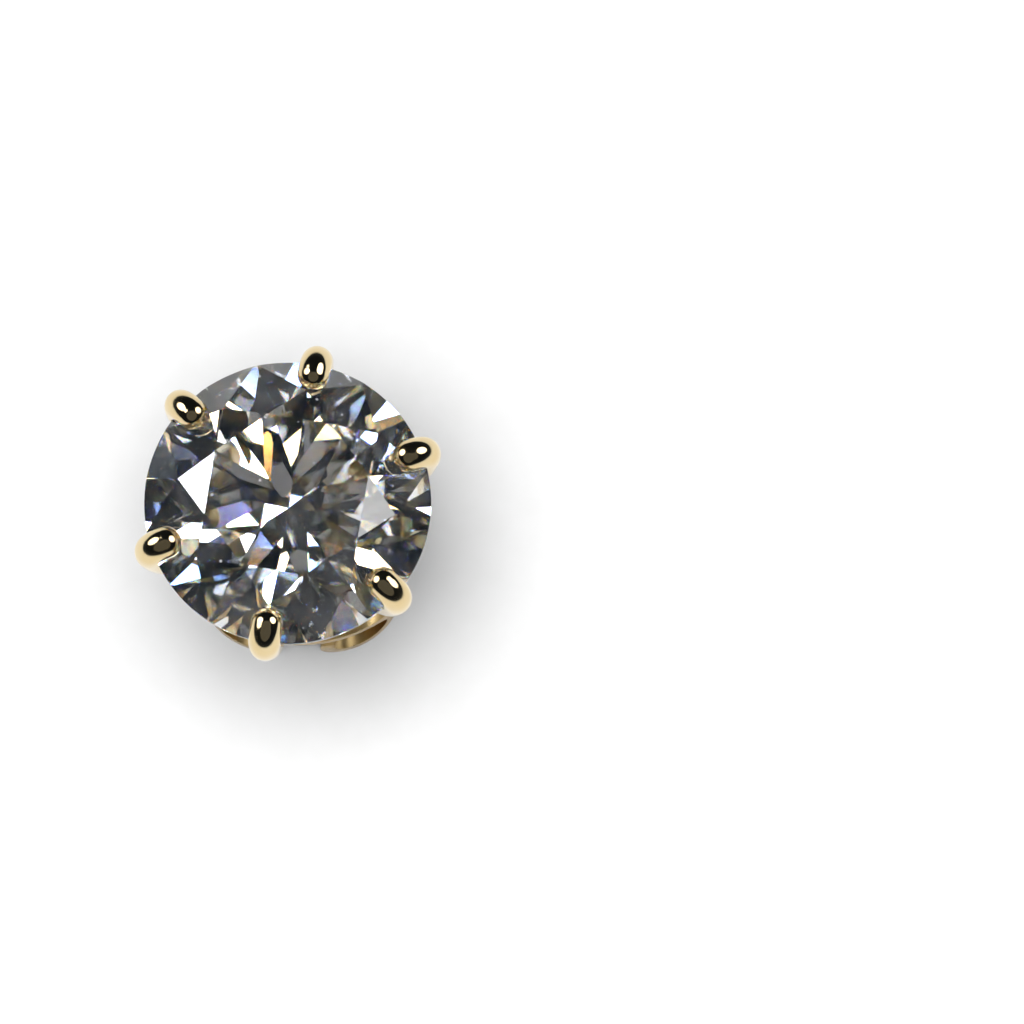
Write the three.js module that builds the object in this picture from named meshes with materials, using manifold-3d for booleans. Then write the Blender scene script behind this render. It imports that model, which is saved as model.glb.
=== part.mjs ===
// Stud earring: a round brilliant stone held by six claws, on an ear post with a scroll back.
// Millimetres. +Z runs up the post to the stone's face, and the scroll back stands on z = 0.
// +X is to the right and +Y up when the stone is seen from the front.
import * as THREE from 'three';
import { mergeVertices } from 'three/addons/utils/BufferGeometryUtils.js';
import Module from 'manifold-3d';

// Stone
const STONE_DIAMETER = 6.5;
const TABLE_DIAMETER = 3.8;
const GIRDLE_THICKNESS = 0.2;
const CROWN_ANGLE = 34.5;
const PAVILION_ANGLE = 40.75;
const STAR_LENGTH_SHARE = 0.5;
const LOWER_HALF_SHARE = 0.77;
const MAIN_FACETS = 8;
const STONE_TURN = 13;

// Claws
const CLAW_COUNT = 6;
const CLAW_WIRE = 0.73;
const CLAW_OUTSIDE_GIRDLE = 0.41;
const TIP_REACH = 0.7;
const TIP_HEIGHT_ON_CROWN = 0.24;
const CLAW_TURN = 19.3;
const CLAW_BEND_FULLNESS = 0.55;

// Basket, base and post
const BASKET_HEIGHT = 3.5;
const RAIL_WIRE = 0.5;
const RAIL_BELOW_GIRDLE = 2.1;
const RAIL_SINK_IN_CLAW = 0.3;
const BASE_DIAMETER = 2.7;
const BASE_THICKNESS = 0.55;
const POST_DIAMETER = 0.9;
const POST_LENGTH = 7.4;
const POST_TIP_ROUNDING = 0.3;

// Scroll back
const SHEET_THICKNESS = 0.3;
const SCROLL_DIAMETER = 1.9;
const BACK_DEPTH = 3.0;
const SCROLL_OPENING = 0.3;
const OVAL_PAST_SCROLLS = 0.03;
const POST_TIP_ABOVE_FLOOR = 0.3;

// Clearances
const SEAT_CLEARANCE = 0.03;
const SLIDE_CLEARANCE = 0.04;

// How finely round shapes are cut into flats
const GIRDLE_STEPS_PER_HALF_FACET = 4;
const WIRE_SIDES = 16;
const CLAW_STEPS = 22;
const RAIL_STEPS = 54;
const ROUND_SIDES = 48;
const SCROLL_STEP_ANGLE = 15;

// The claw's middle line from the base to the girdle: `out` is a share of the claw circle's radius,
// and `up` a share of the basket's height.
const CLAW_LINE = [
  { out: 0.42, up: 0.13 },
  { out: 0.66, up: 0.3 },
  { out: 0.84, up: 0.52 },
  { out: 0.95, up: 0.76 },
  { out: 1.0, up: 1.0 },
];

// How each claw was turned by hand when the stone was set, in degrees from its even place.
const CLAW_HAND_TURN = [0.3, -0.8, -1.4, 1.1, 2.0, -1.1];

const stoneRadius = STONE_DIAMETER / 2;
const clawRadius = CLAW_WIRE / 2;
const clawCircle = stoneRadius + CLAW_OUTSIDE_GIRDLE - clawRadius;
const postRadius = POST_DIAMETER / 2;
const scrollRadius = SCROLL_DIAMETER / 2;
const baseUnderside = POST_TIP_ABOVE_FLOOR + POST_LENGTH;
const girdleHeight = baseUnderside + BASKET_HEIGHT;
const crownSlope = Math.tan(THREE.MathUtils.degToRad(CROWN_ANGLE));
const pavilionSlope = Math.tan(THREE.MathUtils.degToRad(PAVILION_ANGLE));

const wasm = await Module();
wasm.setup();

// A solid body for cutting and joining, from a closed geometry.
function toSolid(geometry) {
  const bare = geometry.clone();
  bare.deleteAttribute('normal');
  bare.deleteAttribute('uv');
  const merged = mergeVertices(bare, 1e-5);
  return new wasm.Manifold(new wasm.Mesh({
    numProp: 3,
    vertProperties: new Float32Array(merged.attributes.position.array),
    triVerts: new Uint32Array(merged.index.array),
  }));
}

// The geometry of a finished solid.
function toGeometry(solid) {
  const mesh = solid.getMesh();
  const geometry = new THREE.BufferGeometry();
  geometry.setAttribute('position', new THREE.BufferAttribute(new Float32Array(mesh.vertProperties), 3));
  geometry.setIndex(new THREE.BufferAttribute(new Uint32Array(mesh.triVerts), 1));
  geometry.computeVertexNormals();
  return geometry;
}

function joined(solids) {
  return solids.reduce((whole, piece) => whole.add(piece));
}

function polar(radius, angle, z) {
  return new THREE.Vector3(radius * Math.cos(angle), radius * Math.sin(angle), z);
}

// Height of the plane through three points, at another place in plan.
function heightOnPlane(points, x, y) {
  const plane = new THREE.Plane().setFromCoplanarPoints(...points);
  return -(plane.constant + plane.normal.x * x + plane.normal.y * y) / plane.normal.z;
}

// One half facet: its point, and where its plane meets the girdle's round wall from one angle to another.
function halfFacet(point, radius, fromAngle, toAngle, edgeZ) {
  const corners = [point, polar(radius, fromAngle, edgeZ), polar(radius, toAngle, edgeZ)];
  const arc = [];
  for (let step = 0; step <= GIRDLE_STEPS_PER_HALF_FACET; step += 1) {
    const angle = THREE.MathUtils.lerp(fromAngle, toAngle, step / GIRDLE_STEPS_PER_HALF_FACET);
    const place = polar(radius, angle, 0);
    place.z = heightOnPlane(corners, place.x, place.y);
    arc.push(place);
  }
  return arc;
}

// A round brilliant about its girdle's middle, with its table to +Z.
function brilliant(radius, girdleThickness) {
  const tableRadius = radius * TABLE_DIAMETER / STONE_DIAMETER;
  const pitch = 2 * Math.PI / MAIN_FACETS;
  const halfPitch = pitch / 2;
  const edge = girdleThickness / 2;
  const tableZ = edge + (radius - tableRadius) * crownSlope;
  const tableFlat = tableRadius * Math.cos(halfPitch);
  const starRadius = THREE.MathUtils.lerp(tableFlat, radius, STAR_LENGTH_SHARE);
  const starZ = edge + (radius - starRadius * Math.cos(halfPitch)) * crownSlope;
  const lowerRadius = radius * (1 - LOWER_HALF_SHARE);
  const culet = new THREE.Vector3(0, 0, -edge - radius * pavilionSlope);
  const lowerZ = culet.z + lowerRadius * Math.cos(halfPitch) * pavilionSlope;
  const triangles = [];
  const facet = (points) => {
    for (let i = 1; i < points.length - 1; i += 1) {
      triangles.push(points[0], points[i], points[i + 1]);
    }
  };
  const table = [];
  for (let main = 0; main < MAIN_FACETS; main += 1) {
    const angle = main * pitch;
    const corner = polar(tableRadius, angle, tableZ);
    const nextCorner = polar(tableRadius, angle + pitch, tableZ);
    const star = polar(starRadius, angle + halfPitch, starZ);
    const lastStar = polar(starRadius, angle - halfPitch, starZ);
    const lower = polar(lowerRadius, angle + halfPitch, lowerZ);
    const lastLower = polar(lowerRadius, angle - halfPitch, lowerZ);
    table.push(corner);
    facet([corner, star, nextCorner]);
    facet([corner, lastStar, polar(radius, angle, edge), star]);
    facet([culet, lower, polar(radius, angle, -edge), lastLower]);
    for (const [from, to] of [[angle, angle + halfPitch], [angle + halfPitch, angle + pitch]]) {
      const upperArc = halfFacet(star, radius, from, to, edge);
      const lowerArc = halfFacet(lower, radius, from, to, -edge);
      facet([star, ...upperArc]);
      facet([lower, ...lowerArc.toReversed()]);
      for (let i = 0; i < upperArc.length - 1; i += 1) {
        facet([upperArc[i], lowerArc[i], lowerArc[i + 1], upperArc[i + 1]]);
      }
    }
  }
  facet(table);
  const geometry = new THREE.BufferGeometry().setFromPoints(triangles);
  geometry.computeVertexNormals();
  geometry.rotateZ(THREE.MathUtils.degToRad(STONE_TURN));
  geometry.translate(0, 0, girdleHeight);
  return geometry;
}

// The claw's middle line in the XZ plane: up from the base to the girdle, then in over the crown.
function clawLine() {
  const tipRadius = stoneRadius - TIP_REACH + clawRadius;
  const crownUnderTip = GIRDLE_THICKNESS / 2 + (stoneRadius - tipRadius) * crownSlope;
  const tip = new THREE.Vector3(tipRadius, 0, girdleHeight + crownUnderTip + TIP_HEIGHT_ON_CROWN);
  const line = CLAW_LINE.map(({ out, up }) => (
    new THREE.Vector3(out * clawCircle, 0, baseUnderside + up * BASKET_HEIGHT)));
  const bend = new THREE.Vector3(clawCircle, 0, girdleHeight).lerp(tip, 0.5);
  bend.x = THREE.MathUtils.lerp(bend.x, clawCircle, CLAW_BEND_FULLNESS);
  return new THREE.CatmullRomCurve3([...line, bend, tip], false, 'centripetal');
}

// How far from the post's middle the claw's middle line is, at a height.
function clawLineRadius(curve, height) {
  const points = curve.getPoints(4 * CLAW_STEPS);
  const above = points.findIndex((point) => point.z >= height);
  return points[above].x;
}

// One claw: wire along the line, with a ball at each end as its dome.
function clawSolid(curve) {
  const section = new THREE.Shape().absarc(0, 0, clawRadius, 0, 2 * Math.PI, false);
  const wire = new THREE.ExtrudeGeometry(section, {
    steps: CLAW_STEPS, curveSegments: WIRE_SIDES / 2, extrudePath: curve, bevelEnabled: false,
  });
  const ends = [curve.getPoint(0), curve.getPoint(1)].map((place) => {
    const ball = new THREE.SphereGeometry(clawRadius, WIRE_SIDES, WIRE_SIDES / 2);
    ball.translate(place.x, place.y, place.z);
    return toSolid(ball);
  });
  return joined([toSolid(wire), ...ends]);
}

// The claw turned to its place round the stone.
function clawInPlace(claw, index) {
  const even = CLAW_TURN + index * 360 / CLAW_COUNT;
  const byHand = CLAW_HAND_TURN[index % CLAW_HAND_TURN.length];
  return claw.rotate([0, 0, even + byHand]);
}

// Six claws, the rail that ties them, the base disc and the post, soldered into one.
function settingGeometry() {
  const curve = clawLine();
  const claw = clawSolid(curve);
  const claws = Array.from({ length: CLAW_COUNT }, (_, index) => clawInPlace(claw, index));
  const railHeight = girdleHeight - RAIL_BELOW_GIRDLE;
  const railOutside = clawLineRadius(curve, railHeight) - clawRadius + RAIL_SINK_IN_CLAW;
  const rail = new THREE.TorusGeometry(railOutside - RAIL_WIRE / 2, RAIL_WIRE / 2, WIRE_SIDES, RAIL_STEPS);
  rail.translate(0, 0, railHeight);
  const baseRadius = BASE_DIAMETER / 2;
  const outline = new THREE.Path();
  outline.moveTo(0, POST_TIP_ABOVE_FLOOR);
  outline.lineTo(postRadius - POST_TIP_ROUNDING, POST_TIP_ABOVE_FLOOR);
  const roundX = postRadius - POST_TIP_ROUNDING;
  const roundZ = POST_TIP_ABOVE_FLOOR + POST_TIP_ROUNDING;
  outline.absarc(roundX, roundZ, POST_TIP_ROUNDING, -Math.PI / 2, 0, false);
  outline.lineTo(postRadius, baseUnderside);
  outline.lineTo(baseRadius, baseUnderside);
  outline.lineTo(baseRadius, baseUnderside + BASE_THICKNESS);
  outline.lineTo(0, baseUnderside + BASE_THICKNESS);
  const post = new THREE.LatheGeometry(outline.getPoints(4), ROUND_SIDES);
  post.rotateX(Math.PI / 2);
  const seat = toSolid(brilliant(stoneRadius + SEAT_CLEARANCE, GIRDLE_THICKNESS + 2 * SEAT_CLEARANCE));
  return toGeometry(joined([...claws, toSolid(rail), toSolid(post)]).subtract(seat));
}

// Outline of the right-hand scroll: a strip rolled down and round from the plate to the post and on under it.
function scrollShape(centreX) {
  const startAngle = 90;
  const underPlate = Math.acos(1 - (SHEET_THICKNESS + SCROLL_OPENING) / scrollRadius);
  const sweep = 360 - THREE.MathUtils.radToDeg(underPlate);
  const steps = Math.floor(sweep / SCROLL_STEP_ANGLE);
  const arc = (radius) => Array.from({ length: steps + 1 }, (_, step) => {
    const angle = THREE.MathUtils.degToRad(startAngle - step * SCROLL_STEP_ANGLE);
    return new THREE.Vector2(centreX + radius * Math.cos(angle), scrollRadius + radius * Math.sin(angle));
  });
  return new THREE.Shape([...arc(scrollRadius), ...arc(scrollRadius - SHEET_THICKNESS).reverse()]);
}

// A flat shape drawn in X and Z, given the back's depth along Y.
function backStrip(shape) {
  const strip = new THREE.ExtrudeGeometry(shape, { depth: BACK_DEPTH, bevelEnabled: false });
  strip.rotateX(Math.PI / 2);
  strip.translate(0, BACK_DEPTH / 2, 0);
  return toSolid(strip);
}

// The scroll back: an oval plate with a hole, its two ends rolled into springs that press on the post.
function clutchGeometry() {
  const holeRadius = postRadius + SLIDE_CLEARANCE;
  const centreX = holeRadius + scrollRadius;
  const plateTop = SCROLL_DIAMETER;
  const cutHeight = 3 * SCROLL_DIAMETER;
  const plate = new THREE.Shape([
    new THREE.Vector2(-centreX, plateTop - SHEET_THICKNESS),
    new THREE.Vector2(centreX, plateTop - SHEET_THICKNESS),
    new THREE.Vector2(centreX, plateTop),
    new THREE.Vector2(-centreX, plateTop),
  ]);
  const right = backStrip(scrollShape(centreX));
  const halfTurn = 180;
  const left = right.rotate([0, 0, halfTurn]);
  const oval = new THREE.CylinderGeometry(1, 1, cutHeight, ROUND_SIDES);
  oval.rotateX(Math.PI / 2);
  oval.scale(centreX + scrollRadius + OVAL_PAST_SCROLLS, BACK_DEPTH / 2, 1);
  const hole = new THREE.CylinderGeometry(holeRadius, holeRadius, cutHeight, ROUND_SIDES);
  hole.rotateX(Math.PI / 2);
  return toGeometry(joined([backStrip(plate), right, left]).intersect(toSolid(oval)).subtract(toSolid(hole)));
}

function piece(name, geometry, color, metalness, roughness) {
  const mesh = new THREE.Mesh(geometry, new THREE.MeshStandardMaterial({ color, metalness, roughness }));
  mesh.name = name;
  return mesh;
}

const stud = new THREE.Group();
stud.name = 'stud_earring';
stud.add(piece('stone', brilliant(stoneRadius, GIRDLE_THICKNESS), 0xdfe6ea, 0, 0.02));
stud.add(piece('setting', settingGeometry(), 0xe0c27a, 1, 0.15));
stud.add(piece('clutch', clutchGeometry(), 0xdcbd74, 1, 0.2));

export default stud;
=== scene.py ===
import math
import random

import bmesh
import bpy
from mathutils import Matrix, Vector


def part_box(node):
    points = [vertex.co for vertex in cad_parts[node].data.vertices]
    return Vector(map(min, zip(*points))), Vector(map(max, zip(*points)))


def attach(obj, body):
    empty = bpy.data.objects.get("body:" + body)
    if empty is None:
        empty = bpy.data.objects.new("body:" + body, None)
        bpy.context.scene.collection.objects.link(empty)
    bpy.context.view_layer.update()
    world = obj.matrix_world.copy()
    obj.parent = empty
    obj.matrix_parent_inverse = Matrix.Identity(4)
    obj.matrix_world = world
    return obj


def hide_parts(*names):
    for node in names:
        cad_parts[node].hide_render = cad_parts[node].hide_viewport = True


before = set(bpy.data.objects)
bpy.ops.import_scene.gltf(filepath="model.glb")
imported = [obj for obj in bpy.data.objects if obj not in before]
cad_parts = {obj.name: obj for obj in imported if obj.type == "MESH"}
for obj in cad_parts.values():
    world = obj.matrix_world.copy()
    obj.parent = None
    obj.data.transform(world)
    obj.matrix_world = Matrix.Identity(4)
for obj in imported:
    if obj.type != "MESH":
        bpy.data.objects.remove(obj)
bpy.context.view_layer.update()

bl_info = {
    "name": "Six-claw stud earring",
    "version": (1, 0, 0),
    "blender": (4, 5, 0),
    "location": "3D View > Sidebar > Stud",
    "description": "Makes a round brilliant stone in a gold claw setting, with its scroll back and studio",
    "category": "Object",
}

# The meshes are made in millimetres and then brought to the frame's metres.
MM = 0.001
STONE_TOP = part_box("stone")[1].z
POST_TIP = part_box("setting")[0].z
CLUTCH_LOW, CLUTCH_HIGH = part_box("clutch")


def widest_radius(node):
    """How far the node reaches from the post's middle line, in metres."""
    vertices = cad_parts[node].data.vertices
    return max(math.hypot(vertex.co.x, vertex.co.y) for vertex in vertices)


def hex_to_linear(code):
    """Turns an sRGB hex colour into a linear RGBA one."""
    channels = [int(code[i:i + 2], 16) / 255 for i in (1, 3, 5)]
    linear = [c / 12.92 if c <= 0.04045 else ((c + 0.055) / 1.055) ** 2.4 for c in channels]
    return (*linear, 1.0)


def length(name, description, default):
    """A length property in metres."""
    return bpy.props.FloatProperty(
        name=name, description=description, default=default, min=0.0, unit="LENGTH", precision=5)


def turn(name, description, degrees):
    """An angle property, given in degrees."""
    return bpy.props.FloatProperty(
        name=name, description=description, default=math.radians(degrees), unit="ROTATION")


def share(name, description, default):
    """A property that is a share of something, from 0 to 1."""
    return bpy.props.FloatProperty(
        name=name, description=description, default=default, min=0.0, max=1.0, subtype="FACTOR")


def power(name, description, default):
    """The power property of a light."""
    return bpy.props.FloatProperty(
        name=name, description=description, default=default, min=0.0, unit="POWER")


def whole_number(name, description, default):
    """A property that counts something."""
    return bpy.props.IntProperty(name=name, description=description, default=default, min=0)


def colour(name, description, code):
    """A colour property, given as an sRGB hex colour."""
    return bpy.props.FloatVectorProperty(
        name=name, description=description, default=hex_to_linear(code), size=4, min=0.0, max=1.0,
        subtype="COLOR")


class StudStoneSettings(bpy.types.PropertyGroup):
    diameter: length("Diameter", "Width of the stone across its girdle", 2 * widest_radius("stone"))
    table: length("Table", "Width of the table from corner to corner", 3.8 * MM)
    girdle: length("Girdle", "Thickness of the girdle where the mains meet it", 0.2 * MM)
    crown_angle: turn("Crown angle", "Slope of the crown mains", 34.5)
    pavilion_angle: turn("Pavilion angle", "Slope of the pavilion mains", 40.75)
    star: share("Star length", "Share of the crown that the stars take", 0.5)
    lower_half: share("Lower halves", "Share of the pavilion that the lower halves take", 0.77)
    facing: turn("Facing", "Turn of the first main about the post", 13.0)
    facet_error: turn("Facet error", "Largest slip of a facet from its right slope", 0.35)


class StudMetalSettings(bpy.types.PropertyGroup):
    claw_wire: length("Claw wire", "Thickness of the claw wire", 0.73 * MM)
    claw_outside: length("Claw outside", "How far the claws stand out past the girdle", 0.41 * MM)
    tip_reach: length("Tip reach", "How far the claw tips reach in over the crown", 0.7 * MM)
    tip_height: length("Tip height", "Height of the tip ball's middle over the crown", 0.24 * MM)
    basket: length("Basket height", "From the base's underside to the girdle's middle", 3.5 * MM)
    rail_wire: length("Rail wire", "Thickness of the gallery rail", 0.5 * MM)
    rail_drop: length("Rail drop", "From the girdle's middle down to the rail", 2.1 * MM)
    rail_sink: length("Rail sink", "How deep the rail is sunk in the claws", 0.3 * MM)
    base: length("Base", "Width of the base disc", 2.7 * MM)
    base_thickness: length("Base thickness", "Thickness of the base disc", 0.55 * MM)
    post: length("Post", "Thickness of the ear post", 0.9 * MM)
    post_rounding: length("Post rounding", "Rounding of the post's tip", 0.3 * MM)
    edge_rounding: length("Edge rounding", "Rounding of the base disc's edges", 0.08 * MM)
    sheet: length("Sheet", "Thickness of the scroll back's sheet", 0.3 * MM)
    scroll_opening: length("Scroll opening", "Gap from the rolled-in edge to the plate", 0.3 * MM)
    oval_past_scrolls: length("Oval past scrolls", "From the scrolls out to the oval outline", 0.03 * MM)
    sheet_rounding: length("Sheet rounding", "Rounding of the sheet's edges", 0.04 * MM)
    seat_clearance: length("Seat clearance", "Gap between the stone and its seats", 0.03 * MM)
    slide_clearance: length("Slide clearance", "Gap from the post to the scroll back", 0.04 * MM)
    gold: colour("Gold", "Colour of the polished yellow gold", "#E8D7B0")
    # The scroll back's gold is painted darker than the claws' gold: painted shade on the back under the
    # stud.
    sheet_gold_with_painted_shade: colour("Sheet gold", "Colour of the scroll back's yellow gold", "#D2BC8A")


class StudStageSettings(bpy.types.PropertyGroup):
    elevation: turn("Camera elevation", "Height of the camera over the girdle's plane", 78.5)
    distance: length("Camera distance", "From the camera to the girdle's plane", 170 * MM)
    view_width: length("View width", "Width that the photo takes in at the girdle", 23.2 * MM)
    aim_right: length("Aim right", "How far right of the stone the camera aims", 5.08 * MM)
    aim_down: length("Aim down", "How far below the stone the camera aims", 0.2 * MM)
    softbox_distance: length("Softbox distance", "From the stone to all but the overhead light", 400 * MM)
    softbox_size: length("Softbox size", "Width of each side softbox", 310 * MM)
    softbox_power: power("Softbox power", "Power of each side softbox", 0.65)
    overhead_distance: length("Overhead distance", "From the stone to the overhead softbox", 500 * MM)
    overhead_size: length("Overhead size", "Width of the overhead softbox", 240 * MM)
    overhead_power: power("Overhead power", "Power of the overhead softbox", 3.2)
    window_size: length("Window size", "Width of the left window, which the stone gathers", 130 * MM)
    right_window_part: share("Right window", "Width of the right window over the left one's", 0.7)
    window_power: power("Window power", "Power of the left window", 0.39)
    card_size: length("Card size", "Width of the card round the camera", 600 * MM)
    card_power: power("Card power", "Power of the light that the card throws back", 0.08)
    lamps: whole_number("Lamps", "Number of small lamps round the camera", 14)
    lamp_size: length("Lamp size", "Width of each small lamp", 44 * MM)
    lamp_power: power("Lamp power", "Power of each small lamp", 0.041)
    lamp_lean_least: turn("Least lamp lean", "Smallest angle between a lamp and the camera", 12)
    lamp_lean_most: turn("Most lamp lean", "Largest angle between a lamp and the camera", 60)
    lamp_seed: whole_number("Lamp seed", "Which draw of the lamps' places is used", 141)
    floor: colour("Floor", "Colour of the matt white floor", "#F6F6F6")
    floor_radius: length("Floor radius", "Radius of the floor", 3000 * MM)


# Nodes

def add_node(tree, kind, settings=None, inputs=None):
    """Adds a node with its settings; an input is a value or the socket that feeds it."""
    node = tree.nodes.new(kind)
    for name, value in (settings or {}).items():
        setattr(node, name, value)
    for key, value in (inputs or {}).items():
        if isinstance(value, bpy.types.NodeSocket):
            tree.links.new(value, node.inputs[key])
        else:
            node.inputs[key].default_value = value
    return node


def new_material(name):
    """A material with an empty tree and its output node."""
    material = bpy.data.materials.new(name)
    material.use_nodes = True
    material.node_tree.nodes.clear()
    output = add_node(material.node_tree, "ShaderNodeOutputMaterial")
    return material, material.node_tree, output


# Meshes

def new_piece(name, mesh, materials):
    """Links a mesh made in millimetres to the scene as a piece of the root body."""
    if not mesh.polygons:
        raise RuntimeError(f"The {name} came out empty")
    mesh.transform(Matrix.Scale(MM, 4))
    mesh.materials.clear()
    for material in materials:
        mesh.materials.append(material)
    piece = bpy.data.objects.new(name, mesh)
    bpy.context.scene.collection.objects.link(piece)
    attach(piece, "root")
    return piece


def mesh_from(name, fill):
    """A mesh filled by a function that takes a bmesh."""
    shape = bmesh.new()
    fill(shape)
    bmesh.ops.recalc_face_normals(shape, faces=shape.faces)
    mesh = bpy.data.meshes.new(name)
    shape.to_mesh(mesh)
    shape.free()
    return mesh


def boolean(mesh, others, operation):
    """The first mesh joined with, cut by or kept inside the other ones."""
    for other in others:
        holder = bpy.data.objects.new(mesh.name, mesh)
        cutter = bpy.data.objects.new(other.name, other)
        for thing in (holder, cutter):
            bpy.context.scene.collection.objects.link(thing)
        modifier = holder.modifiers.new("join", "BOOLEAN")
        modifier.operation = operation
        modifier.solver = "EXACT"
        modifier.object = cutter
        depsgraph = bpy.context.evaluated_depsgraph_get()
        mesh = bpy.data.meshes.new_from_object(holder.evaluated_get(depsgraph))
        bpy.data.objects.remove(holder)
        bpy.data.objects.remove(cutter)
    return mesh


def bevelled(mesh, width, segments, angle):
    """The mesh with its sharp edges rounded."""
    holder = bpy.data.objects.new(mesh.name, mesh)
    bpy.context.scene.collection.objects.link(holder)
    modifier = holder.modifiers.new("round", "BEVEL")
    modifier.width = width
    modifier.segments = segments
    modifier.limit_method = "ANGLE"
    modifier.angle_limit = angle
    depsgraph = bpy.context.evaluated_depsgraph_get()
    rounded = bpy.data.meshes.new_from_object(holder.evaluated_get(depsgraph))
    bpy.data.objects.remove(holder)
    return rounded


def smooth(mesh, sharp_angle):
    """Shades the mesh smooth but for edges sharper than an angle."""
    mesh.polygons.foreach_set("use_smooth", [True] * len(mesh.polygons))
    mesh.set_sharp_from_angle(angle=sharp_angle)


def bridge_rings(shape, rings):
    """Faces between rings of vertices, with the first and last ring closed."""
    for ring, after in zip(rings, rings[1:]):
        for i in range(len(ring)):
            j = (i + 1) % len(ring)
            shape.faces.new((ring[i], ring[j], after[j], after[i]))
    shape.faces.new(rings[0][::-1])
    shape.faces.new(rings[-1])


# Stone

# Which draw of the facets' slips is used.
FACET_SEED = 8
# A face whose normal rises less than this is part of the girdle.
GIRDLE_RISE = 0.05


def polar(radius, angle, z):
    """A point at a radius and angle about the post."""
    return Vector((radius * math.cos(angle), radius * math.sin(angle), z))


def grind_facet(shape, corners, error):
    """Grinds one flat facet through three points, with a small slip of its slope."""
    middle = sum(corners, Vector()) / 3
    normal = (corners[1] - corners[0]).cross(corners[2] - corners[0]).normalized()
    if normal.dot(middle) < 0:
        normal.negate()
    slip = Vector(random.gauss(0, 1) for _ in range(3)).cross(normal)
    normal = (normal + slip.normalized() * math.tan(error) * random.uniform(-1, 1)).normalized()
    everything = shape.verts[:] + shape.edges[:] + shape.faces[:]
    cut = bmesh.ops.bisect_plane(
        shape, geom=everything, dist=1e-5, plane_co=middle, plane_no=normal, clear_outer=True)
    edges = [part for part in cut["geom_cut"] if isinstance(part, bmesh.types.BMEdge)]
    if edges:
        bmesh.ops.edgeloop_fill(shape, edges=edges)


def fill_brilliant(shape, stone, spare, error, girdle_sides=128):
    """A round brilliant in millimetres about its girdle, ground facet by facet."""
    random.seed(FACET_SEED)
    radius = stone.diameter / 2 / MM + spare
    edge = stone.girdle / 2 / MM + spare
    table_radius = radius * stone.table / stone.diameter
    crown, pavilion = math.tan(stone.crown_angle), math.tan(stone.pavilion_angle)
    pitch = math.tau / 8
    half = pitch / 2
    table_z = edge + (radius - table_radius) * crown
    table_flat = table_radius * math.cos(half)
    star_radius = table_flat + (radius - table_flat) * stone.star
    star_z = edge + (radius - star_radius * math.cos(half)) * crown
    culet = Vector((0, 0, -edge - radius * pavilion))
    lower_radius = radius * (1 - stone.lower_half)
    lower_z = culet.z + lower_radius * math.cos(half) * pavilion
    bmesh.ops.create_cone(
        shape, cap_ends=True, segments=girdle_sides, radius1=radius, radius2=radius,
        depth=3 * radius, matrix=Matrix.Rotation(stone.facing, 4, "Z"))
    grind_facet(shape, [polar(1, angle, table_z) for angle in (0, 2, 4)], 0)
    for step in range(8):
        angle = stone.facing + step * pitch
        before, after = angle - half, angle + half
        corner = polar(table_radius, angle, table_z)
        star, last_star = polar(star_radius, after, star_z), polar(star_radius, before, star_z)
        lower = polar(lower_radius, after, lower_z)
        last_lower = polar(lower_radius, before, lower_z)
        grind_facet(shape, [corner, last_star, star], error)
        grind_facet(shape, [culet, lower, last_lower], error)
        grind_facet(shape, [corner, star, polar(table_radius, angle + pitch, table_z)], error)
        for near, far in ((angle, after), (after, after + half)):
            over = [polar(radius, near, edge), polar(radius, far, edge)]
            under = [polar(radius, near, -edge), polar(radius, far, -edge)]
            grind_facet(shape, [star, *over], error)
            grind_facet(shape, [lower, *under], error)
    for face in shape.faces:
        face.material_index = 1 if abs(face.normal.z) < GIRDLE_RISE else 0


class STUD_OT_make_stone(bpy.types.Operator):
    """Grinds the round brilliant stone, with small slips in its facets as a real one has"""

    bl_idname = "stud.make_stone"
    bl_label = "Make stone"

    def execute(self, context):
        stone = context.scene.stud_stone
        mesh = mesh_from("stone", lambda shape: fill_brilliant(shape, stone, 0, stone.facet_error))
        mesh.transform(Matrix.Translation((0, 0, girdle_height(context) / MM)))
        piece = new_piece("brilliant_stone", mesh, [polished_diamond(), bruted_girdle()])
        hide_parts("stone")
        return {"FINISHED"}


# What light does in diamond: each band of colour is bent a little more than the last, so a white
# light seen through a facet gets a red and a blue edge. The colours add up to white, and the bands
# run from diamond's 2.408 in red light to its 2.451 in violet.
LIGHT_BANDS = (
    ("#B30000", 2.408),
    ("#A06C00", 2.413),
    ("#6CAA00", 2.42),
    ("#00A06C", 2.427),
    ("#0059A0", 2.436),
    ("#3F00BC", 2.451),
)
DIAMOND_IOR = 2.417
WHITE = (1.0, 1.0, 1.0, 1.0)


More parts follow.
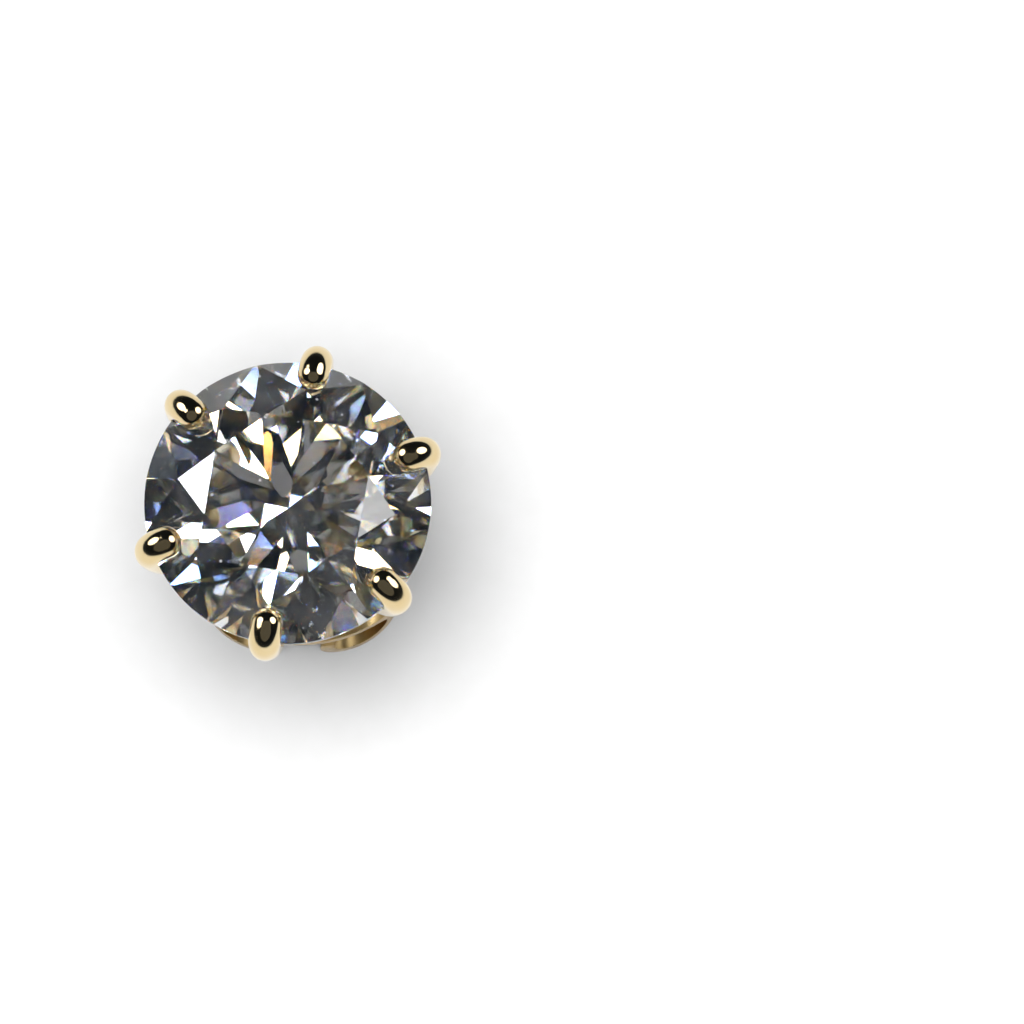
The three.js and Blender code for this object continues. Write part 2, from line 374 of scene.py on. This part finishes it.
def polished_diamond():
    """Diamond, cut and polished: mirror-flat facets, total reflection inside, fire at their edges."""
    material, tree, output = new_material("diamond, cut and polished")
    bending = add_node(tree, "ShaderNodeFresnel", inputs={"IOR": DIAMOND_IOR})
    mirror = add_node(tree, "ShaderNodeBsdfAnisotropic", inputs={"Color": WHITE, "Roughness": 0.03})
    entering = add_node(tree, "ShaderNodeBsdfRefraction", inputs={
        "Color": WHITE, "Roughness": 0.0, "IOR": DIAMOND_IOR})
    # Light leaves a little spread, which evens out the tone over each facet.
    leaving = None
    for code, ior in LIGHT_BANDS:
        band = add_node(tree, "ShaderNodeBsdfRefraction", inputs={
            "Color": hex_to_linear(code), "Roughness": 0.05, "IOR": ior})
        if leaving is None:
            leaving = band
        else:
            leaving = add_node(tree, "ShaderNodeAddShader", inputs={
                0: leaving.outputs[0], 1: band.outputs[0]})
    side = add_node(tree, "ShaderNodeNewGeometry")
    through = add_node(tree, "ShaderNodeMixShader", inputs={
        0: side.outputs["Backfacing"], 1: entering.outputs[0], 2: leaving.outputs[0]})
    clear = add_node(tree, "ShaderNodeMixShader", inputs={
        0: bending.outputs[0], 1: through.outputs[0], 2: mirror.outputs[0]})
    # Faint clouds 1 mm wide, and pinpoints under 0.1 mm wide, about one to a square millimetre. Both
    # are drawn on the facets, where they read as flaws just under the surface.
    place = add_node(tree, "ShaderNodeTexCoord")
    clouds = add_node(tree, "ShaderNodeTexNoise", inputs={
        "Vector": place.outputs["Object"], "Scale": 1 / MM, "Detail": 4.0})
    haze = add_node(tree, "ShaderNodeMapRange", inputs={
        "Value": clouds.outputs["Fac"],
        "From Min": 0.4, "From Max": 0.75, "To Min": 0.0, "To Max": 0.08})
    grains = add_node(tree, "ShaderNodeTexVoronoi", inputs={
        "Vector": place.outputs["Object"], "Scale": 2.2 / MM})
    specks = add_node(tree, "ShaderNodeMapRange", inputs={
        "Value": grains.outputs["Distance"],
        "From Min": 0.05, "From Max": 0.1, "To Min": 0.5, "To Max": 0.0})
    cloudy = add_node(tree, "ShaderNodeMath", {"operation": "MAXIMUM"}, {
        0: haze.outputs[0], 1: specks.outputs[0]})
    flaws = add_node(tree, "ShaderNodeBsdfDiffuse", inputs={"Color": hex_to_linear("#E4E6EA")})
    # They are seen from outside alone, so light that is on its way inside passes them by.
    outside = add_node(tree, "ShaderNodeMapRange", inputs={
        "Value": side.outputs["Backfacing"], "To Min": cloudy.outputs[0], "To Max": 0.0})
    surface = add_node(tree, "ShaderNodeMixShader", inputs={
        0: outside.outputs[0], 1: clear.outputs[0], 2: flaws.outputs[0]})
    tree.links.new(surface.outputs[0], output.inputs["Surface"])
    return material


def bruted_girdle():
    """Diamond, bruted: the ground girdle scatters light and shows as a thin pale line."""
    material, tree, output = new_material("diamond, bruted girdle")
    glass = add_node(tree, "ShaderNodeBsdfPrincipled", inputs={
        "Base Color": hex_to_linear("#F2F4F6"), "Roughness": 0.35, "IOR": DIAMOND_IOR,
        "Transmission Weight": 1.0})
    tree.links.new(glass.outputs[0], output.inputs["Surface"])
    return material


# Gold

# The claw's middle line from the base to the girdle: how far out, as a share of the claw circle, and
# how far up, as a share of the basket height.
CLAW_LINE = ((0.42, 0.13), (0.66, 0.3), (0.84, 0.52), (0.95, 0.76), (1.0, 1.0))
# Where the first claw stands about the post, and how each was turned from its even place by hand when
# the stone was set, in degrees.
CLAW_TURN = 19.3
CLAW_HAND_TURN = (0.3, -0.8, -1.4, 1.1, 2.0, -1.1)
# Rings in each domed end of a claw, and how far round its quarter circle the last ring goes.
DOME_RINGS = 12
DOME_CLOSE = 0.985


def girdle_height(context):
    """Height of the girdle's middle over the floor, in metres."""
    stone = context.scene.stud_stone
    crown_height = (stone.diameter - stone.table) / 2 * math.tan(stone.crown_angle)
    return STONE_TOP - crown_height - stone.girdle / 2


def catmull_rom(points, steps):
    """Points along a centripetal curve through the given ones, the same number in each span."""
    ends = [2 * points[0] - points[1], *points, 2 * points[-1] - points[-2]]
    line = []
    for i in range(1, len(ends) - 2):
        p0, p1, p2, p3 = ends[i - 1:i + 3]
        t0 = 0.0
        t1 = t0 + math.sqrt((p1 - p0).length)
        t2 = t1 + math.sqrt((p2 - p1).length)
        t3 = t2 + math.sqrt((p3 - p2).length)
        last = i == len(ends) - 3
        for step in range(steps + (1 if last else 0)):
            t = t1 + (t2 - t1) * step / steps
            a1 = p0.lerp(p1, (t - t0) / (t1 - t0))
            a2 = p1.lerp(p2, (t - t1) / (t2 - t1))
            a3 = p2.lerp(p3, (t - t2) / (t3 - t2))
            b1 = a1.lerp(a2, (t - t0) / (t2 - t0))
            b2 = a2.lerp(a3, (t - t1) / (t3 - t1))
            line.append(b1.lerp(b2, (t - t1) / (t2 - t1)))
    return line


def claw_points(context):
    """The claw's middle line in the XZ plane, in millimetres."""
    stone, metal = context.scene.stud_stone, context.scene.stud_metal
    radius, wire = stone.diameter / 2 / MM, metal.claw_wire / 2 / MM
    circle = radius + metal.claw_outside / MM - wire
    girdle = girdle_height(context) / MM
    underside = girdle - metal.basket / MM
    tip_radius = radius - metal.tip_reach / MM + wire
    crown = stone.girdle / 2 / MM + (radius - tip_radius) * math.tan(stone.crown_angle)
    tip_z = girdle + crown + metal.tip_height / MM
    line = [Vector((out * circle, 0, underside + up * metal.basket / MM)) for out, up in CLAW_LINE]
    bend = circle - tip_radius
    over = [Vector((x, 0, z)) for x, z in arc_points((tip_radius, tip_z - bend), bend, 0, 90, 4)]
    return catmull_rom([*line, *over], 8)


def fill_claw(shape, points, radius, sides, place):
    """Round wire along the claw's line with a domed end at the base and at the tip."""
    across = Vector((0, 1, 0))
    stations = []
    first, last = (points[1] - points[0]).normalized(), (points[-1] - points[-2]).normalized()
    for step in range(DOME_RINGS, 0, -1):
        angle = math.pi / 2 * min(step / DOME_RINGS, DOME_CLOSE)
        middle = points[0] - first * radius * math.sin(angle)
        stations.append((middle, first, radius * math.cos(angle)))
    for i, point in enumerate(points):
        along = (points[min(i + 1, len(points) - 1)] - points[max(i - 1, 0)]).normalized()
        stations.append((point, along, radius))
    for step in range(1, DOME_RINGS + 1):
        angle = math.pi / 2 * min(step / DOME_RINGS, DOME_CLOSE)
        middle = points[-1] + last * radius * math.sin(angle)
        stations.append((middle, last, radius * math.cos(angle)))
    rings = []
    for middle, along, size in stations:
        out = across.cross(along)
        ring = []
        for side in range(sides):
            angle = math.tau * side / sides
            point = middle + (across * math.cos(angle) + out * math.sin(angle)) * size
            ring.append(shape.verts.new(place @ point))
        rings.append(ring)
    bridge_rings(shape, rings)


def fill_ring(shape, ring_radius, wire_radius, z, around, sides):
    """A ring of round wire about the post."""
    rings = []
    for step in range(around):
        angle = math.tau * step / around
        ring = []
        for side in range(sides):
            tilt = math.tau * side / sides
            out, up = wire_radius * math.cos(tilt), wire_radius * math.sin(tilt)
            ring.append(shape.verts.new(polar(ring_radius + out, angle, z + up)))
        rings.append(ring)
    for i, ring in enumerate(rings):
        after = rings[(i + 1) % around]
        for side in range(sides):
            beside = (side + 1) % sides
            shape.faces.new((ring[side], after[side], after[beside], ring[beside]))


def fill_lathe(shape, outline, sides):
    """A turned body from (radius, height) points that start and end on the middle line."""
    bottom = shape.verts.new((0, 0, outline[0][1]))
    top = shape.verts.new((0, 0, outline[-1][1]))
    rings = [[shape.verts.new(polar(r, math.tau * side / sides, z)) for side in range(sides)]
             for r, z in outline[1:-1]]
    for side in range(sides):
        beside = (side + 1) % sides
        shape.faces.new((bottom, rings[0][beside], rings[0][side]))
        shape.faces.new((top, rings[-1][side], rings[-1][beside]))
        for ring, after in zip(rings, rings[1:]):
            shape.faces.new((ring[side], ring[beside], after[beside], after[side]))


def arc_points(middle, radius, start, end, steps):
    """Points on an arc in the (radius, height) plane, angles in degrees."""
    points = []
    for step in range(steps + 1):
        angle = math.radians(start + (end - start) * step / steps)
        points.append((middle[0] + radius * math.cos(angle), middle[1] + radius * math.sin(angle)))
    return points


class STUD_OT_make_setting(bpy.types.Operator):
    """Makes the claws, rail, base and post, and joins them as one soldered body"""

    bl_idname = "stud.make_setting"
    bl_label = "Make setting"

    def execute(self, context):
        stone, metal = context.scene.stud_stone, context.scene.stud_metal
        girdle = girdle_height(context) / MM
        underside = girdle - metal.basket / MM
        points = claw_points(context)
        wire = metal.claw_wire / 2 / MM
        claws = []
        for number, by_hand in enumerate(CLAW_HAND_TURN):
            angle = math.radians(CLAW_TURN + 60 * number + by_hand)
            place = Matrix.Rotation(angle, 4, "Z")
            claws.append(mesh_from("claw", lambda shape: fill_claw(shape, points, wire, 48, place)))
        rail_z = girdle - metal.rail_drop / MM
        claw_line = min(points, key=lambda point: abs(point.z - rail_z)).x
        rail_wire = metal.rail_wire / 2 / MM
        rail_radius = claw_line - wire + metal.rail_sink / MM - rail_wire
        rail = mesh_from("rail", lambda shape: fill_ring(
            shape, rail_radius, rail_wire, rail_z, 120, 24))
        post, base = metal.post / 2 / MM, metal.base / 2 / MM
        tip = POST_TIP / MM
        rounding, edge = metal.post_rounding / MM, metal.edge_rounding / MM
        base_top = underside + metal.base_thickness / MM
        outline = [
            (0, tip), *arc_points((post - rounding, tip + rounding), rounding, -90, 0, 8),
            (post, underside - edge), *arc_points((post + edge, underside - edge), edge, 180, 90, 4)[1:],
            (base - edge, underside), *arc_points((base - edge, underside + edge), edge, -90, 0, 4)[1:],
            (base, base_top - edge), *arc_points((base - edge, base_top - edge), edge, 0, 90, 4)[1:],
            (0, base_top)]
        turned = mesh_from("post", lambda shape: fill_lathe(shape, outline, 64))
        spare = metal.seat_clearance / MM
        seat = mesh_from("seat", lambda shape: fill_brilliant(shape, stone, spare, 0))
        seat.transform(Matrix.Translation((0, 0, girdle)))
        body = boolean(turned, [rail, *claws], "UNION")
        body = boolean(body, [seat], "DIFFERENCE")
        smooth(body, math.radians(40))
        piece = new_piece("claw_setting", body, [polished_gold(context)])
        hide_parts("setting")
        return {"FINISHED"}


def polished_gold(context):
    """Yellow gold, polished: mirror bright, with hair lines from the buff and softer patches."""
    material, tree, output = new_material("14 carat yellow gold, polished")
    place = add_node(tree, "ShaderNodeTexCoord")
    # Wear and finger marks change the polish over about 0.5 mm.
    patches = add_node(tree, "ShaderNodeTexNoise", inputs={
        "Vector": place.outputs["Object"], "Scale": 2 / MM, "Detail": 3.0})
    polish = add_node(tree, "ShaderNodeMapRange", inputs={
        "Value": patches.outputs["Fac"],
        "From Min": 0.35, "From Max": 0.7, "To Min": 0.05, "To Max": 0.16})
    # Hair lines about 0.03 mm apart, drawn out upwards along the claws and the post.
    stretched = add_node(tree, "ShaderNodeMapping", inputs={
        "Vector": place.outputs["Object"], "Scale": (1.0, 1.0, 0.15)})
    lines = add_node(tree, "ShaderNodeTexNoise", inputs={
        "Vector": stretched.outputs[0], "Scale": 30 / MM, "Detail": 2.0})
    relief = add_node(tree, "ShaderNodeBump", inputs={
        "Height": lines.outputs["Fac"], "Strength": 0.12, "Distance": 0.002 * MM})
    # The alloy is a touch redder where the polish is softer.
    tone = add_node(tree, "ShaderNodeMix", {"data_type": "RGBA"}, {
        0: patches.outputs["Fac"], 6: context.scene.stud_metal.gold, 7: hex_to_linear("#DEC48E")})
    gold = add_node(tree, "ShaderNodeBsdfPrincipled", inputs={
        "Base Color": tone.outputs[2], "Metallic": 1.0, "Roughness": polish.outputs[0],
        "Normal": relief.outputs[0]})
    tree.links.new(gold.outputs[0], output.inputs["Surface"])
    return material


# Scroll back

def scroll_outline(middle, radius, sheet, steps, sweep):
    """Outline of a strip rolled down from the plate, round under it and up beside the post."""
    outside = arc_points((middle, radius), radius, 90, 90 - sweep, steps)
    inside = arc_points((middle, radius), radius - sheet, 90 - sweep, 90, steps)
    return outside + inside


def fill_strip(shape, outline, depth):
    """A flat outline in X and Z given a depth along Y."""
    front = [shape.verts.new((x, -depth / 2, z)) for x, z in outline]
    back = [shape.verts.new((x, depth / 2, z)) for x, z in outline]
    bridge_rings(shape, [front, back])


class STUD_OT_make_scroll_back(bpy.types.Operator):
    """Rolls the scroll back from gold sheet, with its oval plate and the hole for the post"""

    bl_idname = "stud.make_scroll_back"
    bl_label = "Make scroll back"

    def execute(self, context):
        metal = context.scene.stud_metal
        height = (CLUTCH_HIGH.z - CLUTCH_LOW.z) / MM
        depth = (CLUTCH_HIGH.y - CLUTCH_LOW.y) / MM
        radius, sheet = height / 2, metal.sheet / MM
        hole_radius = metal.post / 2 / MM + metal.slide_clearance / MM
        middle = hole_radius + radius
        under_plate = math.acos(1 - (sheet + metal.scroll_opening / MM) / radius)
        right = scroll_outline(middle, radius, sheet, 84, 360 - math.degrees(under_plate))
        left = [(-x, z) for x, z in reversed(right)]
        plate = [
            (-middle, height - sheet), (middle, height - sheet), (middle, height), (-middle, height)]
        strips = [mesh_from("strip", lambda shape: fill_strip(shape, outline, depth))
                  for outline in (plate, right, left)]
        body = boolean(strips[0], strips[1:], "UNION")
        long_way = middle + radius + metal.oval_past_scrolls / MM
        oval = mesh_from("oval", lambda shape: bmesh.ops.create_cone(
            shape, cap_ends=True, segments=96, radius1=1, radius2=1, depth=3 * height,
            matrix=Matrix.Diagonal((long_way, depth / 2, 1, 1))))
        hole = mesh_from("hole", lambda shape: bmesh.ops.create_cone(
            shape, cap_ends=True, segments=64, radius1=hole_radius, radius2=hole_radius,
            depth=3 * height))
        body = boolean(body, [oval], "INTERSECT")
        body = boolean(body, [hole], "DIFFERENCE")
        body = bevelled(body, metal.sheet_rounding / MM, 2, math.radians(50))
        smooth(body, math.radians(35))
        piece = new_piece("scroll_back", body, [rolled_gold_with_painted_shade(context)])
        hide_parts("clutch")
        return {"FINISHED"}


def rolled_gold_with_painted_shade(context):
    """Yellow gold sheet, rolled and tumbled: a soft sheen and faint lines along the strip; its gold is
    painted darker, as painted shade.
    """
    material, tree, output = new_material("14 carat yellow gold sheet, tumbled, with painted shade")
    place = add_node(tree, "ShaderNodeTexCoord")
    # Tumbling leaves brighter and softer patches about 0.3 mm wide.
    patches = add_node(tree, "ShaderNodeTexNoise", inputs={
        "Vector": place.outputs["Object"], "Scale": 3 / MM, "Detail": 2.0})
    polish = add_node(tree, "ShaderNodeMapRange", inputs={
        "Value": patches.outputs["Fac"],
        "From Min": 0.3, "From Max": 0.7, "To Min": 0.24, "To Max": 0.4})
    # Lines from the rolls about 0.04 mm apart, drawn out along the strip.
    along = add_node(tree, "ShaderNodeMapping", inputs={
        "Vector": place.outputs["Object"], "Scale": (0.1, 1.0, 0.1)})
    lines = add_node(tree, "ShaderNodeTexNoise", inputs={
        "Vector": along.outputs[0], "Scale": 25 / MM, "Detail": 2.0})
    relief = add_node(tree, "ShaderNodeBump", inputs={
        "Height": lines.outputs["Fac"], "Strength": 0.25, "Distance": 0.003 * MM})
    # Both tones are painted darker than the claws' gold, as painted shade, so the back under the stud
    # reads as lying in shadow.
    tone = add_node(tree, "ShaderNodeMix", {"data_type": "RGBA"}, {
        0: patches.outputs["Fac"], 6: context.scene.stud_metal.sheet_gold_with_painted_shade,
        7: hex_to_linear("#B89660")})
    gold = add_node(tree, "ShaderNodeBsdfPrincipled", inputs={
        "Base Color": tone.outputs[2], "Metallic": 1.0, "Roughness": polish.outputs[0],
        "Normal": relief.outputs[0]})
    tree.links.new(gold.outputs[0], output.inputs["Surface"])
    return material


# Stage

def matt_floor(context):
    """White card, matt: an even pale ground with a faint tooth."""
    material, tree, output = new_material("white card, matt")
    place = add_node(tree, "ShaderNodeTexCoord")
    # The tooth is drawn 0.7 mm wide, coarser than real card's, or it would not show.
    tooth = add_node(tree, "ShaderNodeTexNoise", inputs={
        "Vector": place.outputs["Object"], "Scale": 1.5 / MM, "Detail": 2.0})
    tone = add_node(tree, "ShaderNodeMix", {"data_type": "RGBA"}, {
        0: tooth.outputs["Fac"], 6: context.scene.stud_stage.floor, 7: hex_to_linear("#F1F1F0")})
    card = add_node(tree, "ShaderNodeBsdfPrincipled", inputs={
        "Base Color": tone.outputs[2], "Roughness": 0.9, "Specular IOR Level": 0.2})
    tree.links.new(card.outputs[0], output.inputs["Surface"])
    return material


# Which way each light hangs from the stone, along the camera's own axes: to the right, up, and back
# to the camera. The side ones hang on the left too.
SOFTBOX_DIRECTION = (0.72, 0.38, 0.58)
WINDOW_DIRECTION = (0.62, 0.42, 0.66)
OVERHEAD_DIRECTION = (-0.03, 0.078, 1.0)
CARD_DIRECTION = (0.0, -0.3, 1.0)
WINDOW_COLOUR = "#F0F5FF"
# Daylight, lamplight and pale card, in turn.
LAMP_COLOURS = ("#A4C0FF", "#FFEAC4", "#EEF4FF")


def along_axes(axes, parts, side=1):
    """The direction that goes so far along each of the camera's axes, or its twin on the left."""
    right, up, back = axes
    across, high, near = parts
    return right * side * across + up * high + back * near


def add_softbox(name, direction, target, distance, size, watts, seen_by, code="#FFFFFF"):
    """A round softbox that faces the stone, and lights only the kinds of surface that are named."""
    light = bpy.data.lights.new(name, "AREA")
    light.color = hex_to_linear(code)[:3]
    light.shape = "DISK"
    light.size = size
    light.energy = watts
    box = bpy.data.objects.new(name, light)
    box.location = target + direction.normalized() * distance
    box.rotation_mode = "QUATERNION"
    box.rotation_quaternion = direction.to_track_quat("Z", "Y")
    box.visible_diffuse = "matt" in seen_by
    box.visible_glossy = "gloss" in seen_by
    box.visible_transmission = "stone" in seen_by
    bpy.context.scene.collection.objects.link(box)


def hang_lamps(stage, target, axes):
    """Small lamps round the camera. Only the stone gathers them, as patches and points of light."""
    random.seed(stage.lamp_seed)
    for number in range(stage.lamps):
        turned = math.tau * (number + random.uniform(-0.5, 0.5)) / stage.lamps
        lean = random.uniform(stage.lamp_lean_least, stage.lamp_lean_most)
        aside = math.sin(lean)
        toward = along_axes(axes, (math.cos(turned) * aside, math.sin(turned) * aside, math.cos(lean)))
        add_softbox(
            f"lamp {number + 1}", toward, target, stage.softbox_distance, stage.lamp_size,
            stage.lamp_power, ("stone",), LAMP_COLOURS[number % len(LAMP_COLOURS)])


def dim_room(world):
    """A room that is dark overhead, where the camera hangs, and pale low down round the table."""
    world.use_nodes = True
    tree = world.node_tree
    tree.nodes.clear()
    place = add_node(tree, "ShaderNodeTexCoord")
    height = add_node(tree, "ShaderNodeSeparateXYZ", inputs={0: place.outputs["Generated"]})
    ramp = add_node(tree, "ShaderNodeValToRGB", inputs={0: height.outputs["Z"]})
    steps = ramp.color_ramp.elements
    steps[0].position, steps[0].color = 0.0, hex_to_linear("#7C858E")
    steps[1].position, steps[1].color = 0.3, hex_to_linear("#15181D")
    middle = steps.new(0.06)
    middle.color = hex_to_linear("#2B3038")
    background = add_node(tree, "ShaderNodeBackground", inputs={
        "Color": ramp.outputs[0], "Strength": 1.0})
    output = add_node(tree, "ShaderNodeOutputWorld")
    tree.links.new(background.outputs[0], output.inputs["Surface"])


class STUD_OT_set_stage(bpy.types.Operator):
    """Lays the pale floor, hangs the softboxes and sets the camera at the photo's angle"""

    bl_idname = "stud.set_stage"
    bl_label = "Set stage"

    def execute(self, context):
        scene, stage = context.scene, context.scene.stud_stage
        target = Vector((0, 0, girdle_height(context)))
        mesh = mesh_from("floor", lambda shape: bmesh.ops.create_circle(
            shape, cap_ends=True, segments=64, radius=stage.floor_radius))
        mesh.materials.append(matt_floor(context))
        floor = bpy.data.objects.new("floor", mesh)
        scene.collection.objects.link(floor)
        back = Vector((0, -math.cos(stage.elevation), math.sin(stage.elevation)))
        right = Vector((1, 0, 0))
        up = back.cross(right)
        aim = target + right * stage.aim_right - up * stage.aim_down
        lens = bpy.data.cameras.new("camera")
        lens.sensor_width = 36.0
        lens.lens = lens.sensor_width * stage.distance / stage.view_width
        lens.clip_start = 0.01
        camera = bpy.data.objects.new("camera", lens)
        camera.location = aim + back * stage.distance
        camera.rotation_mode = "QUATERNION"
        camera.rotation_quaternion = back.to_track_quat("Z", "Y")
        scene.collection.objects.link(camera)
        scene.camera = camera
        axes = (right, up, back)
        for name, side, part in (("left", -1, 1.0), ("right", 1, stage.right_window_part)):
            add_softbox(
                f"{name} softbox", along_axes(axes, SOFTBOX_DIRECTION, side), target,
                stage.softbox_distance, stage.softbox_size, stage.softbox_power, ("gloss",))
            add_softbox(
                f"{name} window", along_axes(axes, WINDOW_DIRECTION, side), target,
                stage.softbox_distance, stage.window_size * part, stage.window_power * part * part,
                ("gloss", "stone"), WINDOW_COLOUR)
        hang_lamps(stage, target, axes)
        # Faint light from the card round the camera gives the claw tips a brown middle.
        add_softbox(
            "camera card", along_axes(axes, CARD_DIRECTION), target, stage.softbox_distance,
            stage.card_size, stage.card_power, ("gloss",))
        # From beside the camera, so that the shadow lies close round the stud, most to the lower right.
        add_softbox(
            "overhead softbox", along_axes(axes, OVERHEAD_DIRECTION), target,
            stage.overhead_distance, stage.overhead_size, stage.overhead_power, ("matt",))
        world = bpy.data.worlds.new("room")
        scene.world = world
        dim_room(world)
        scene.view_settings.view_transform = "Standard"
        scene.cycles.max_bounces = 24
        scene.cycles.glossy_bounces = 16
        scene.cycles.transmission_bounces = 16
        scene.cycles.caustics_reflective = False
        scene.cycles.caustics_refractive = False
        return {"FINISHED"}


class STUD_PT_panel(bpy.types.Panel):
    """The stud's pieces and sizes in the 3D view's sidebar"""

    bl_idname = "STUD_PT_panel"
    bl_label = "Stud earring"
    bl_space_type = "VIEW_3D"
    bl_region_type = "UI"
    bl_category = "Stud"

    def draw(self, context):
        layout = self.layout
        for operator in OPERATORS:
            layout.operator(operator.bl_idname)
        for group in (context.scene.stud_stone, context.scene.stud_metal, context.scene.stud_stage):
            box = layout.box()
            for name in group.__annotations__:
                box.prop(group, name)


OPERATORS = (STUD_OT_set_stage, STUD_OT_make_stone, STUD_OT_make_setting, STUD_OT_make_scroll_back)
SETTINGS = {
    "stud_stone": StudStoneSettings,
    "stud_metal": StudMetalSettings,
    "stud_stage": StudStageSettings,
}


def register():
    for cls in (*SETTINGS.values(), *OPERATORS, STUD_PT_panel):
        bpy.utils.register_class(cls)
    for name, cls in SETTINGS.items():
        setattr(bpy.types.Scene, name, bpy.props.PointerProperty(type=cls))


def unregister():
    for name in SETTINGS:
        delattr(bpy.types.Scene, name)
    for cls in (STUD_PT_panel, *OPERATORS, *SETTINGS.values()):
        bpy.utils.unregister_class(cls)


def main():
    register()
    bpy.ops.stud.set_stage()
    bpy.ops.stud.make_stone()
    bpy.ops.stud.make_setting()
    bpy.ops.stud.make_scroll_back()


if __name__ == "__main__":
    main()
